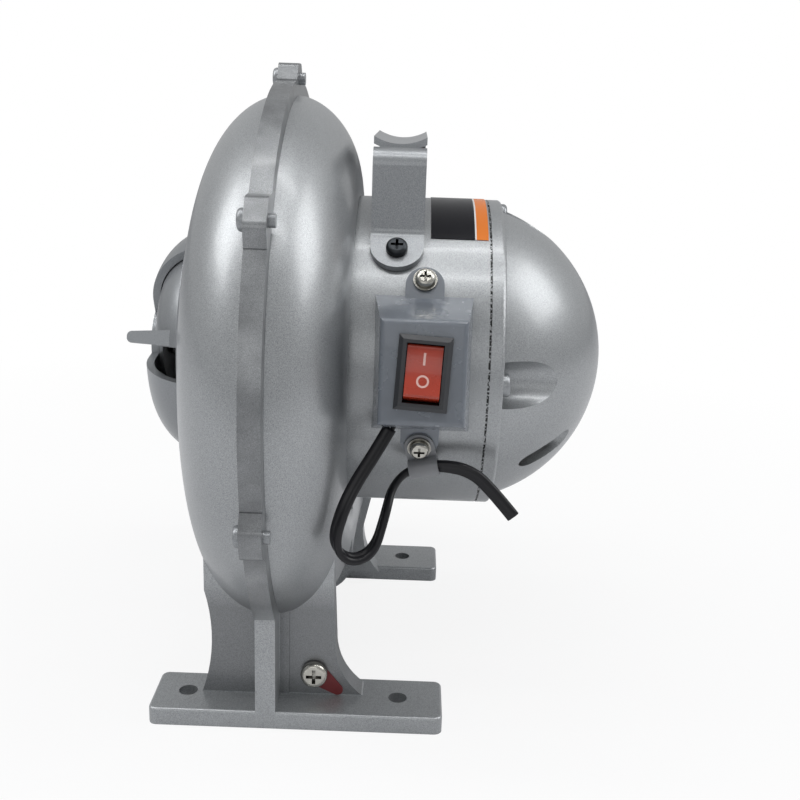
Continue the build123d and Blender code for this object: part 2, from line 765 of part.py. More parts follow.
def impeller_backplate():
    """Back plate and hub of the fan wheel."""
    plate = rod(wheel_r, WHEEL_BACK_X - WHEEL_PLATE_T, WHEEL_BACK_X)
    hub = rod(WHEEL_HUB_R, WHEEL_BACK_X - WHEEL_HUB_L, WHEEL_BACK_X + WHEEL_BOSS_L)
    return plate + hub - rod(SHAFT_R + FIT_GAP, wheel_front_x, FRONT_BEARING_X)


def impeller_shroud():
    """Front ring of the fan wheel, round the eye."""
    return ring(wheel_r, WHEEL_EYE_R, wheel_front_x, wheel_front_x + WHEEL_PLATE_T)


def impeller_blades():
    """Backward-curved blades between the two plates."""
    x0 = wheel_front_x + WHEEL_PLATE_T
    x1 = WHEEL_BACK_X - WHEEL_PLATE_T
    bend = ring(BLADE_CURVE_R, BLADE_CURVE_R - BLADE_T, x0, x1)
    bend = Pos(0, BLADE_CURVE_R - BLADE_T / 2, (BLADE_IN_R + wheel_r) / 2 - BLADE_LEAN) * bend
    annulus = ring(wheel_r - BLADE_EDGE_GAP, BLADE_IN_R, x0, x1)
    window = Pos((x0 + x1) / 2, 0, axis_h + wheel_r / 2) * Box(2 * (x1 - x0), 2 * wheel_r, wheel_r)
    blade = (bend & annulus & window).solids().sort_by(SortBy.VOLUME)[-1]
    step = 360 / BLADE_COUNT
    return group(turned(step * index, blade) for index in range(BLADE_COUNT))


hub_front_x = WHEEL_BACK_X - WHEEL_HUB_L


def impeller_washer():
    return ring(WASHER_R, SHAFT_R + FIT_GAP, hub_front_x - WASHER_T, hub_front_x)


def impeller_nut():
    """Hexagon nut on the shaft's threaded end."""
    x0 = hub_front_x - WASHER_T - NUT_T
    prism = extrude(RegularPolygon(NUT_AF / 2, 6, major_radius=False), NUT_T)
    nut = Pos(x0, 0, axis_h) * Rot(0, 90, 0) * prism
    return nut - rod(SHAFT_R + FIT_GAP, x0 - PAST, x0 + NUT_T + PAST)


def motor_shaft():
    """Shaft, thicker where it carries the rotor core."""
    x0 = hub_front_x - WASHER_T - NUT_T - SHAFT_THREAD_L
    x1 = REAR_BEARING_X + BEARING_W + SHAFT_END_L
    core_x0 = FRONT_BEARING_X + BEARING_W + RUN_GAP / 2
    body = rod(SHAFT_R, x0, x1) + rod(SHAFT_CORE_R, core_x0, REAR_BEARING_X - RUN_GAP / 2)
    return chamfer(body.edges().sort_by(Axis.X)[0], SHAFT_CHAMFER)


def rotor_core():
    """Cage rotor pressed on the shaft."""
    rotor_r = stator_bore_r - RUN_GAP
    core = rod(rotor_r, STATOR_X0, STATOR_X1)
    for x0 in (STATOR_X0 - ROTOR_RING_T, STATOR_X1):
        core += ring(rotor_r - ROTOR_RING_STEP, ROTOR_RING_IN_R, x0, x0 + ROTOR_RING_T)
    return core - rod(SHAFT_CORE_R + FIT_GAP, 0, THROUGH)


def bearing_places():
    return (FRONT_BEARING_X, REAR_BEARING_X)


def bearing_outer_rings():
    return group(ring(BEARING_OUT_R, BEARING_RACE_OUT_R, x, x + BEARING_W) for x in bearing_places())


def bearing_inner_rings():
    return group(
        ring(BEARING_RACE_IN_R, SHAFT_R + FIT_GAP, x, x + BEARING_W) for x in bearing_places()
    )


def bearing_balls():
    """Balls of both bearings."""
    middle_r = (BEARING_RACE_OUT_R + BEARING_RACE_IN_R) / 2
    step = 360 / BALL_COUNT
    return group(
        polar(step * index, middle_r, x + BEARING_W / 2) * Sphere(BALL_R)
        for x in bearing_places()
        for index in range(BALL_COUNT)
    )


def stator_core():
    """Laminated ring with round notches for the through screws and slots for the coils."""
    core = ring(barrel_in_r - SEAT_GAP, stator_bore_r, STATOR_X0, STATOR_X1)
    notch = rod(THROUGH_BOSS_R + SEAT_GAP, 0, THROUGH, z=axis_h + through_screw_pcr)
    for phi in through_screw_angles:
        core -= turned(phi, notch)
    for index in range(SLOT_COUNT):
        slot = polar(360 / SLOT_COUNT * (index + 0.5), slot_pcr, (STATOR_X0 + STATOR_X1) / 2)
        core -= slot * Rot(0, 90, 0) * Cylinder(SLOT_R, THROUGH)
    return core


def stator_windings():
    """Coil heads at both ends of the core, joined by the sides in its slots."""
    body = None
    for x0, x1 in ((STATOR_X0 - COIL_RISE, STATOR_X0), (STATOR_X1, STATOR_X1 + COIL_RISE)):
        head = ring(coil_out_r, coil_out_r - COIL_W, x0, x1)
        head = fillet(head.edges(), COIL_EDGE_R)
        body = head if body is None else body + head
    for index in range(SLOT_COUNT):
        side = polar(360 / SLOT_COUNT * (index + 0.5), slot_pcr, (STATOR_X0 + STATOR_X1) / 2)
        side_l = STATOR_X1 - STATOR_X0 + 2 * PAST
        body += side * Rot(0, 90, 0) * Cylinder(SLOT_R - COIL_SIDE_GAP, side_l)
    return body


def dome_blank(radius, rim_r):
    """Solid dome with a cylindrical rim; the dome's arc starts at the rim's end."""
    start_r = math.sqrt(radius ** 2 - (RIM_END_X - DOME_CENTRE_X) ** 2)
    half = math.atan2(start_r, RIM_END_X - DOME_CENTRE_X) / 2
    middle = (DOME_CENTRE_X + radius * math.cos(half), radius * math.sin(half))
    apex = (DOME_CENTRE_X + radius, 0)
    with BuildSketch(Plane.XZ) as sketch:
        with BuildLine():
            Polyline(apex, (BARREL_END_X, 0), (BARREL_END_X, rim_r), (RIM_END_X, rim_r), (RIM_END_X, start_r))
            ThreePointArc((RIM_END_X, start_r), middle, apex)
        make_face()
    return Pos(0, 0, axis_h) * revolve(sketch.sketch, Axis.X, 360)


def end_bell():
    """Domed end of the motor with its bearing boss, screw recesses and vents."""
    outside = dome_blank(dome_r, BARREL_R)
    round_edges = outside.edges().filter_by(GeomType.CIRCLE)
    rim_edge = round_edges.filter_by(lambda e: abs(e.radius - BARREL_R) < FIT_GAP)
    outside = fillet(rim_edge.sort_by(Axis.X)[-1], RIM_EDGE_R)
    inside = dome_blank(bell_in_r, bell_in_r - BELL_WALL)
    spigot_out_r = barrel_in_r - SEAT_GAP
    spigot_in_r = spigot_out_r - SPIGOT_T
    shell = outside - inside
    groove_x1 = BARREL_END_X + SEAM_GROOVE_W
    shell -= ring(BARREL_R + PAST, BARREL_R - SEAM_GROOVE_D, BARREL_END_X - PAST, groove_x1)
    shell += ring(spigot_out_r, spigot_in_r, BARREL_END_X - SPIGOT_L, BARREL_END_X + PAST)
    boss = rod(BEARING_OUT_R + BEARING_BOSS_WALL, REAR_BEARING_X, DOME_CENTRE_X + dome_r) & outside
    shell += boss
    shell -= rod(BEARING_OUT_R + FIT_GAP, REAR_BEARING_X - PAST, REAR_BEARING_X + BEARING_W)
    shell -= rod(SHAFT_R + SHAFT_HOLE_GAP, REAR_BEARING_X, REAR_BEARING_X + BEARING_W + 2 * SHAFT_END_L)
    screw_z = axis_h + through_screw_pcr
    clear_x = DOME_CENTRE_X + 2 * dome_r
    pocket = rod(SCALLOP_R + SCALLOP_WALL, BARREL_END_X, SCALLOP_BOSS_END_X, z=screw_z)
    groove = rod(SCALLOP_R, SCALLOP_FLOOR_X, clear_x, z=screw_z)
    groove += rod(THROUGH_SCREW_R + SEAT_GAP, BARREL_END_X - PAST, clear_x, z=screw_z)
    relief = rod(THROUGH_BOSS_R + SEAT_GAP, BARREL_END_X - SPIGOT_L - PAST, BARREL_END_X, z=screw_z)
    for phi in through_screw_angles:
        shell += turned(phi, pocket) & outside
        shell -= turned(phi, groove + relief)
    slot = extrude(Plane.YZ * SlotOverall(VENT_L, VENT_W, rotation=90), dome_r)
    for phi in VENT_ANGLES:
        shell -= polar(phi, vent_middle_r, RIM_END_X + PAST) * slot
    return shell


def end_bell_screws():
    """Long screws through the end bell into the barrel's posts."""
    screws = []
    length = SCALLOP_FLOOR_X - BARREL_END_X + THROUGH_SCREW_L - THROUGH_HOLE_EXTRA
    for phi in through_screw_angles:
        screw = pan_screw(THROUGH_SCREW_HEAD_R, THROUGH_SCREW_HEAD_H, THROUGH_SCREW_R - FIT_GAP, length)
        screws.append(polar(phi, through_screw_pcr, SCALLOP_FLOOR_X) * Rot(0, 90, 0) * screw)
    return group(screws)


def cooling_fan():
    """Small fan inside the dome, on the shaft."""
    hub_x0 = COOLER_X - COOLER_HUB_BACK
    fan = rod(COOLER_HUB_R, hub_x0, hub_x0 + COOLER_HUB_L)
    fan += rod(COOLER_R, COOLER_X, COOLER_X + COOLER_PLATE_T)
    blade_l = COOLER_R - COOLER_HUB_R
    for index in range(COOLER_BLADES):
        place = polar(360 / COOLER_BLADES * index, COOLER_HUB_R + blade_l / 2 - PAST, COOLER_X)
        fan += place * Pos(COOLER_BLADE_H / 2, 0, 0) * Box(COOLER_BLADE_H, COOLER_BLADE_T, blade_l)
    return fan - rod(SHAFT_CORE_R + FIT_GAP, 0, THROUGH)


def strap_pad_frame(side):
    """Frame on the barrel where one end of the handle is screwed down."""
    return polar(side * STRAP_PAD_PHI, BARREL_R, STRAP_X)


def handle_strap():
    """Bent strip with a dished grip and two round-ended pads."""
    pad_dir = (math.cos(math.radians(STRAP_PAD_PHI)), math.sin(math.radians(STRAP_PAD_PHI)))
    screw_y = BARREL_R * math.sin(math.radians(STRAP_PAD_PHI)) + STRAP_T / 2 * pad_dir[1]
    screw_z = axis_h + BARREL_R * pad_dir[0] + STRAP_T / 2 * pad_dir[0]
    leg_y = screw_y - STRAP_LEG_INSET
    slope = (screw_y - leg_y) / pad_dir[0]
    bend = (leg_y, screw_z + slope * pad_dir[1])
    low = (screw_y + STRAP_W / 2 * pad_dir[0], screw_z - STRAP_W / 2 * pad_dir[1])
    top_z = strap_top_z - STRAP_T / 2
    right = [low, bend, (leg_y, top_z)]
    points = right + [(-y, z) for y, z in reversed(right)]
    path = Plane.YZ * FilletPolyline(*points, radius=STRAP_BEND_R)
    with BuildSketch(Plane(origin=path @ 0, x_dir=(1, 0, 0), z_dir=path % 0)) as section:
        Rectangle(STRAP_W, STRAP_T)
    strap = Pos(STRAP_X, 0, 0) * sweep(section.sketch, path=path)
    dish_r = (STRAP_W / 2) ** 2 / (2 * STRAP_DISH) + STRAP_DISH / 2
    grip_l = 2 * leg_y - STRAP_T - 2 * STRAP_BEND_R
    band = Cylinder(dish_r, grip_l) - Cylinder(dish_r - STRAP_T, 2 * grip_l)
    band = Pos(STRAP_X, 0, top_z + dish_r) * Rot(90, 0, 0) * band
    band &= Pos(STRAP_X, 0, strap_top_z) * Box(STRAP_W, grip_l, 4 * STRAP_DISH)
    strap -= Pos(STRAP_X, 0, top_z) * Box(2 * STRAP_W, grip_l, 2 * STRAP_T)
    strap += band
    for side in (1, -1):
        frame = strap_pad_frame(side)
        tip = Pos(0, -side * STRAP_W / 2, STRAP_T / 2) * Box(2 * STRAP_W, STRAP_W, 4 * STRAP_T)
        tip -= Cylinder(STRAP_W / 2, 6 * STRAP_T)
        strap -= frame * Pos(0, side * STRAP_END_SHIFT, 0) * tip
        strap -= frame * Cylinder(STRAP_SCREW_R + SEAT_GAP, 6 * STRAP_T)
    return strap


def handle_screws():
    screws = []
    for side in (1, -1):
        screw = pan_screw(STRAP_SCREW_HEAD_R, STRAP_SCREW_HEAD_H, STRAP_SCREW_R - FIT_GAP, STRAP_SCREW_L)
        screws.append(strap_pad_frame(side) * Pos(0, 0, STRAP_T) * screw)
    return group(screws)


def box_frame(distance):
    """Frame on the switch box's axis: local Z points out of the motor."""
    return polar(BOX_PHI, distance, BOX_X)


def box_blank(inset, front):
    """Tapered block of the switch box."""
    base = box_frame(BARREL_R - BOX_BASE_SINK) * Rectangle(BOX_BASE_X - 2 * inset, BOX_BASE_T - 2 * inset)
    face = box_frame(front) * Rectangle(BOX_FRONT_X - 2 * inset, BOX_FRONT_T - 2 * inset)
    return loft([base.faces()[0], face.faces()[0]])


def switch_frame(distance=0.0):
    """Frame in the middle of the bezel's seat, turned as the switch is."""
    return box_frame(box_front_d + distance) * Rot(0, 0, -BEZEL_TURN)


def ear_stack():
    """Angle and radius under the washer of each box screw: the lower one also holds the clip."""
    top = BARREL_R + BARREL_GAP + EAR_T
    return ((ear_angles[0], top), (ear_angles[1], top + CLIP_T))


def clip_frame():
    """Frame on the lower box ear, turned as the clip hangs."""
    phi, lift = ear_stack()[1]
    return polar(phi, lift - CLIP_T, BOX_X) * Rot(0, 0, CLIP_TILT)


def cord_route():
    """Corner points of the cord, from the switch box through the clip to its cut end."""
    loop, tail = (
        [
            polar(BOX_PHI + math.degrees(arc / BARREL_R), BARREL_R + rise, BOX_X + x).position
            for x, arc, rise in part
        ]
        for part in (CORD_LOOP, CORD_TAIL)
    )
    held = [(clip_frame() * Pos(x, -CLIP_DROP, CLIP_LIFT)).position for x in (-CLIP_RUN, CLIP_RUN)]
    return loop + held + tail


def cord_mouth():
    """Plane where the cord leaves the box, facing along the cord."""
    start, towards = cord_route()[:2]
    return Plane(origin=start, z_dir=towards - start)


def switch_box():
    """Translucent moulded box with two screw ears, open at the back."""
    body = box_blank(0, box_front_d)
    body = fillet(body.faces().sort_by(Axis.Y)[0].edges(), BOX_EDGE_R)
    for phi in ear_angles:
        side = 1 if phi < BOX_PHI else -1
        plate = Pos(0, -side * EAR_REACH / 2, 0) * Box(2 * EAR_HALF_W, EAR_REACH, EAR_T)
        plate += Cylinder(EAR_HALF_W, EAR_T)
        plate = Pos(0, -side * EAR_END_INSET, 0) * plate
        body += polar(phi, BARREL_R + BARREL_GAP + EAR_T / 2, BOX_X) * plate
    body -= box_blank(BOX_WALL, box_front_d - BOX_WALL)
    body -= rod(BARREL_R + BARREL_GAP, 0, THROUGH)
    body -= switch_frame() * Box(SWITCH_BODY_W + 2 * SEAT_GAP, SWITCH_BODY_H + 2 * SEAT_GAP, 4 * BOX_WALL)
    for phi in ear_angles:
        body -= polar(phi, BARREL_R, BOX_X) * Cylinder(BOX_SCREW_R + SEAT_GAP, 8 * EAR_T)
    body -= cord_mouth() * Cylinder(CORD_TUBE_R + BARREL_GAP, 4 * BOX_WALL)
    return body


def box_screws():
    """Two screws that hold the box to the barrel."""
    screws = []
    for phi, lift in ear_stack():
        screw = pan_screw(BOX_SCREW_HEAD_R, BOX_SCREW_HEAD_H, BOX_SCREW_R - FIT_GAP, BOX_SCREW_L)
        screws.append(polar(phi, lift + BOX_WASHER_T, BOX_X) * screw)
    return group(screws)


def box_washers():
    return group(
        polar(phi, lift + BOX_WASHER_T / 2, BOX_X)
        * (Cylinder(BOX_WASHER_R, BOX_WASHER_T) - Cylinder(BOX_SCREW_R + SEAT_GAP, 4 * BOX_WASHER_T))
        for phi, lift in ear_stack()
    )


def switch_body():
    """Bezel and hollow body of the rocker switch."""
    bezel = Pos(0, 0, BEZEL_T / 2) * Box(BEZEL_W, BEZEL_H, BEZEL_T)
    bezel = chamfer(bezel.faces().sort_by(Axis.Z)[-1].edges(), BEZEL_T * 0.6)
    body = Pos(0, 0, -SWITCH_BODY_L / 2) * Box(SWITCH_BODY_W, SWITCH_BODY_H, SWITCH_BODY_L)
    body += bezel
    hollow_l = SWITCH_BODY_L + BEZEL_T - SWITCH_WALL
    hollow = Box(ROCKER_W + 2 * ROCKER_GAP, ROCKER_H + 2 * ROCKER_GAP, hollow_l + PAST)
    body -= Pos(0, 0, BEZEL_T + PAST / 2 - hollow_l / 2) * hollow
    for side in (1, -1):
        pin = Pos(side * (ROCKER_W / 2 + ROCKER_GAP), 0, ROCKER_PIVOT_D) * Rot(0, 90, 0)
        body += pin * Cylinder(ROCKER_PIN_R, ROCKER_PIN_L)
    return switch_frame() * body


def switch_rocker():
    """Rocker: round-ended block with a dished face, resting with its upper end in."""
    reach = ROCKER_H / 2
    rim = reach - ROCKER_TAPER
    face = ROCKER_FACE_D - ROCKER_PIVOT_D
    belly = ROCKER_BELLY_H / 2
    low = ROCKER_FOOT_H / 2
    with BuildSketch(Plane.YZ) as sketch:
        with BuildLine():
            Line((-reach, 0), (-rim, face))
            ThreePointArc((-rim, face), (0, face - ROCKER_DISH), (rim, face))
            Line((rim, face), (reach, 0))
            ThreePointArc((reach, 0), (belly, -ROCKER_BELLY_D), (low, -ROCKER_FOOT_D))
            Line((low, -ROCKER_FOOT_D), (-low, -ROCKER_FOOT_D))
            ThreePointArc((-low, -ROCKER_FOOT_D), (-belly, -ROCKER_BELLY_D), (-reach, 0))
        make_face()
    body = extrude(sketch.sketch, ROCKER_W / 2, both=True)
    rims = body.edges().filter_by(Axis.X).group_by(Axis.Z)[-1]
    body = fillet(rims, ROCKER_EDGE_R)
    body -= Rot(0, 90, 0) * Cylinder(ROCKER_PIN_R + ROCKER_PIN_GAP, 2 * ROCKER_W)
    return switch_frame(ROCKER_PIVOT_D) * Rot(-ROCKER_SWING / 2, 0, 0) * body


def switch_terminals():
    """Blade terminals behind the switch."""
    blades = []
    for index in (-1, 1):
        blade = Box(TERMINAL_W, TERMINAL_T, TERMINAL_L)
        place = Pos(0, index * TERMINAL_PITCH / 2, -SWITCH_BODY_L - TERMINAL_L / 2)
        blades.append(switch_frame() * place * blade)
    return group(blades)


def cord_path():
    """Route of the cord: straight runs joined by arcs as large as the runs allow."""
    points = cord_route()
    runs = [b - a for a, b in zip(points, points[1:])]
    radii = []
    for before, after in zip(runs, runs[1:]):
        turn = math.radians(before.get_angle(after))
        radii.append(0.45 * min(before.length, after.length) / math.tan(turn / 2))
    return FilletPolyline(*points, radius=radii), radii


def power_cord():
    """Free lead, as a plain tube along its route."""
    path, radii = cord_path()
    section = Plane(origin=path @ 0, z_dir=path % 0) * Circle(CORD_TUBE_R)
    tube = sweep(section, path=path)
    expected = math.pi * CORD_TUBE_R ** 2 * path.length
    print("cord radii", [round(r, 1) for r in radii])
    print("cord length", round(path.length, 1), "volume", round(tube.volume, 1), "of", round(expected, 1))
    return tube


def cord_clip():
    """Nylon tab under the lower box screw with a loop round the cord."""
    loop = Pos(0, -CLIP_DROP, CLIP_LIFT) * Rot(0, 90, 0) * Cylinder(CLIP_BORE_R + CLIP_T, CLIP_W)
    bore = Pos(0, -CLIP_DROP, CLIP_LIFT) * Rot(0, 90, 0) * Cylinder(CLIP_BORE_R, 2 * CLIP_W)
    tab = Pos(0, -CLIP_DROP / 2, CLIP_T / 2) * Box(CLIP_W, CLIP_DROP, CLIP_T)
    tab += Pos(0, 0, CLIP_T / 2) * Cylinder(CLIP_W / 2, CLIP_T)
    body = tab + loop - bore
    return clip_frame() * (body - Cylinder(BOX_SCREW_R + SEAT_GAP, 4 * CLIP_T))


def cord_cores():
    """Two stripped cores inside the box, from the cord's mouth to the terminals."""
    wires = []
    mouth = cord_mouth()
    frame = switch_frame()
    blade_z = -SWITCH_BODY_L - TERMINAL_L / 2
    for index in (-1, 1):
        start = mouth.origin + mouth.x_dir * (index * CORE_PITCH / 2)
        inner = start - mouth.z_dir * CORE_RUN
        turn = (frame.inverse() * Pos(*inner)).position
        beside = -TERMINAL_W / 2 - CORE_R - CORE_SIDE_GAP
        goal = (frame * Pos(beside, index * TERMINAL_PITCH / 2, blade_z)).position
        below = (frame * Pos(turn.X, turn.Y, blade_z)).position
        path = Bezier(start, inner, below, goal)
        wires.append(sweep(Plane(origin=path @ 0, z_dir=path % 0) * Circle(CORE_R), path=path))
    return group(wires)


def earth_frame():
    return Pos(EARTH_X, RECESS_D - NEAR_WEB_Y, EARTH_Z) * Rot(90, 0, 0)


def earth_tag():
    """Teardrop marker held under the earth screw."""
    with BuildSketch() as sketch:
        Circle(TAG_ROOT_R)
        with Locations((TAG_L, 0)):
            Circle(TAG_TIP_R)
        make_hull()
        Circle(EARTH_SCREW_R + SEAT_GAP, mode=Mode.SUBTRACT)
    return earth_frame() * Rot(0, 0, TAG_TURN) * extrude(sketch.sketch, TAG_T)


def earth_screw():
    screw = pan_screw(EARTH_HEAD_R, EARTH_HEAD_H, EARTH_SCREW_R - FIT_GAP, EARTH_SCREW_L)
    return earth_frame() * Pos(0, 0, TAG_T) * screw


def rating_label():
    """Thin plate wrapped on top of the barrel."""
    band = sector(LABEL_PHI0, LABEL_PHI1, BARREL_R + LABEL_T, LABEL_X0, LABEL_X1)
    return band - rod(BARREL_R + FIT_GAP, 0, THROUGH)


NODES = {
    "scroll_front_half": scroll_front_half,
    "motor_body": motor_body,
    "casing_screws": casing_screws,
    "inlet_cover": inlet_cover,
    "inlet_cover_screws": inlet_cover_screws,
    "air_shutter": air_shutter,
    "shutter_rivet": shutter_rivet,
    "impeller_backplate": impeller_backplate,
    "impeller_blades": impeller_blades,
    "impeller_shroud": impeller_shroud,
    "impeller_washer": impeller_washer,
    "impeller_nut": impeller_nut,
    "motor_shaft": motor_shaft,
    "rotor_core": rotor_core,
    "bearing_outer_rings": bearing_outer_rings,
    "bearing_inner_rings": bearing_inner_rings,
    "bearing_balls": bearing_balls,
    "stator_core": stator_core,
    "stator_windings": stator_windings,
    "end_bell": end_bell,
    "end_bell_screws": end_bell_screws,
    "cooling_fan": cooling_fan,
    "handle_strap": handle_strap,
    "handle_screws": handle_screws,
    "switch_box": switch_box,
    "box_screws": box_screws,
    "box_washers": box_washers,
    "switch_body": switch_body,
    "switch_rocker": switch_rocker,
    "switch_terminals": switch_terminals,
    "power_cord": power_cord,
    "cord_clip": cord_clip,
    "cord_cores": cord_cores,
    "earth_tag": earth_tag,
    "earth_screw": earth_screw,
    "rating_label": rating_label,
}

for node_name, maker in NODES.items():
    save(node_name, maker())
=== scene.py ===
import math

import bpy
import numpy as np
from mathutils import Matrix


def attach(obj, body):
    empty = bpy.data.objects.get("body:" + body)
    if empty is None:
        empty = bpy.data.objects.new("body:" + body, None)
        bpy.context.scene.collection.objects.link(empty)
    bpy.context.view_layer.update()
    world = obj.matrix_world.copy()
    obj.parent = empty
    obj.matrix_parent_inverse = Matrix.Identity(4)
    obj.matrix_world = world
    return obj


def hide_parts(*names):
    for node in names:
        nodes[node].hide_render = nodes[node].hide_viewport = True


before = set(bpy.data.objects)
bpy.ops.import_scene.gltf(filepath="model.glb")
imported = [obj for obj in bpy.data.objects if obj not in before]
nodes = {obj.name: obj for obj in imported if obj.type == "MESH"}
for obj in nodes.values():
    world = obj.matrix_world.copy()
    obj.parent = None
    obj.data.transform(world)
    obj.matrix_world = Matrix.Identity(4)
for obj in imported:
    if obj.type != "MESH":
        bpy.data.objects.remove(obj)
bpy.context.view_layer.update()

# Camera: the viewpoint that was worked out from the outlines of the casing,
# the barrel and the feet. It looks along the outlet's line, a little down and
# rolled by two degrees.
CAMERA_PLACE = (0.03351, -0.35334, 0.19426)
CAMERA_YAW = math.radians(-0.38)
CAMERA_PITCH = math.radians(16.36)
CAMERA_ROLL = math.radians(-1.94)
FOCAL_PER_WIDTH = 1047.4 / 800
forward = np.array([
    math.sin(CAMERA_YAW) * math.cos(CAMERA_PITCH),
    math.cos(CAMERA_YAW) * math.cos(CAMERA_PITCH),
    -math.sin(CAMERA_PITCH),
])
level = np.array([math.cos(CAMERA_YAW), -math.sin(CAMERA_YAW), 0.0])
upright = np.cross(level, forward)
right = level * math.cos(CAMERA_ROLL) - upright * math.sin(CAMERA_ROLL)
up = upright * math.cos(CAMERA_ROLL) + level * math.sin(CAMERA_ROLL)
camera_data = bpy.data.cameras.new("camera")
camera_data.sensor_width = 36
camera_data.lens = 36 * FOCAL_PER_WIDTH
camera_data.clip_start = 0.01
camera = bpy.data.objects.new("camera", camera_data)
bpy.context.scene.collection.objects.link(camera)
turn = np.eye(4)
turn[:3, 0] = right
turn[:3, 1] = up
turn[:3, 2] = -forward
turn[:3, 3] = CAMERA_PLACE
camera.matrix_world = turn.T
bpy.context.scene.camera = camera
bpy.context.scene.view_settings.view_transform = "Standard"


# Power cord: flat twin flex with a black jacket. It comes out of the bottom of
# the switch box, hangs in one loop, runs through the clip and is cut square.
CORD_ROUTE = (
    (0.0289, -0.0620, 0.1001),
    (0.0252, -0.0645, 0.0936),
    (0.0197, -0.0680, 0.0852),
    (0.0159, -0.0705, 0.0772),
    (0.0133, -0.0710, 0.0664),
    (0.0184, -0.0700, 0.0606),
    (0.0253, -0.0660, 0.0623),
    (0.0283, -0.0615, 0.0725),
    (0.0299, -0.0540, 0.0786),
    (0.0347, -0.0502, 0.0831),
    (0.0444, -0.0510, 0.0853),
    (0.0540, -0.0524, 0.0842),
    (0.0610, -0.0535, 0.0780),
    (0.0674, -0.0550, 0.0707),
)
CORD_WIDE = 0.0041
CORD_THICK = 0.0026
# Direction of the flat's width at stations along the cord, and how far along
FLAT_STATIONS = (0.0, 0.22, 0.42, 0.55, 0.66, 0.80, 1.0)
FLAT_TURNS = (
    (0.85, -0.25, -0.45),
    (0.85, -0.30, -0.40),
    (0.20, -0.80, -0.55),
    (0.30, -0.90, 0.20),
    (0.10, -0.85, 0.50),
    (0.10, -0.15, 0.98),
    (0.60, -0.10, 0.80),
)


def route_line(name, points):
    """Points along the smooth line of a route: a NURBS spline with the route's corners as controls."""
    curve = bpy.data.curves.new(name, "CURVE")
    curve.dimensions = "3D"
    curve.resolution_u = 16
    spline = curve.splines.new("NURBS")
    spline.points.add(len(points) - 1)
    spline.points.foreach_set("co", np.c_[np.array(points), np.ones(len(points))].ravel())
    spline.order_u = 3
    spline.use_endpoint_u = True
    guide = bpy.data.objects.new(name, curve)
    mesh = bpy.data.meshes.new_from_object(guide)
    line = np.empty(len(mesh.vertices) * 3)
    mesh.vertices.foreach_get("co", line)
    bpy.data.objects.remove(guide)
    bpy.data.curves.remove(curve)
    bpy.data.meshes.remove(mesh)
    return line.reshape(-1, 3)


def surface(name, grid, wrap=True, ends=True):
    """Mesh over a grid of points: rows along the piece, columns round it, and its ends closed."""
    rows, columns = grid.shape[:2]
    index = np.arange(rows * columns).reshape(rows, columns)
    ahead = np.roll(index, -1, axis=1)
    last = columns if wrap else columns - 1
    quads = np.stack([index[:-1], ahead[:-1], ahead[1:], index[1:]], axis=-1)[:, :last].reshape(-1, 4)
    faces = quads.tolist()
    if ends:
        faces.append(index[0][::-1].tolist())
        faces.append(index[-1].tolist())
    mesh = bpy.data.meshes.new(name)
    mesh.from_pydata(grid.reshape(-1, 3).tolist(), [], faces)
    mesh.validate()
    piece = bpy.data.objects.new(name, mesh)
    bpy.context.scene.collection.objects.link(piece)
    mesh.polygons.foreach_set("use_smooth", np.ones(len(mesh.polygons), dtype=bool))
    return piece


def unit(rows):
    """Each row vector at length one."""
    return rows / np.linalg.norm(rows, axis=-1, keepdims=True)


# A twin profile: two round cores side by side with a shallow valley between,
# half width times cosine, half thickness times a sine that dips in the middle.
PROFILE_POINTS = 40
SIDE_POWER = 0.9
RISE_POWER = 0.75
VALLEY_DEPTH = 0.16
VALLEY_WIDTH = 0.22
line = route_line("cord_route", CORD_ROUTE)
along = unit(np.gradient(line, axis=0))
travel = np.r_[0, np.cumsum(np.linalg.norm(np.diff(line, axis=0), axis=1))]
station = travel / travel[-1]
wide = np.stack([np.interp(station, FLAT_STATIONS, np.array(FLAT_TURNS)[:, k]) for k in range(3)], axis=1)
wide = unit(wide - along * np.sum(wide * along, axis=1, keepdims=True))
thick = np.cross(along, wide)
angle = np.linspace(0, 2 * math.pi, PROFILE_POINTS, endpoint=False)
side = np.sign(np.cos(angle)) * np.abs(np.cos(angle)) ** SIDE_POWER
dip = 1 - VALLEY_DEPTH * np.exp(-(np.cos(angle) / VALLEY_WIDTH) ** 2)
rise = np.sign(np.sin(angle)) * np.abs(np.sin(angle)) ** RISE_POWER * dip
grid = (
    line[:, None]
    + wide[:, None] * (side * CORD_WIDE / 2)[None, :, None]
    + thick[:, None] * (rise * CORD_THICK / 2)[None, :, None]
)
power_cord = surface("power_cord_flat", grid)


def new_material(name):
    """Material with a Principled shader wired to its output."""
    material = bpy.data.materials.new(name)
    material.use_nodes = True
    tree = material.node_tree
    return material, tree, tree.nodes["Principled BSDF"]


def put(tree, kind, **values):
    """Shader node with its properties and input values set by name."""
    node = tree.nodes.new(kind)
    for name, value in values.items():
        key = name.replace("_", " ")
        if hasattr(node, name):
            setattr(node, name, value)
        else:
            node.inputs[key].default_value = value
    return node


def dress(piece, material):
    """Gives a piece one material in place of those it came with."""
    piece.data.materials.clear()
    piece.data.materials.append(material)


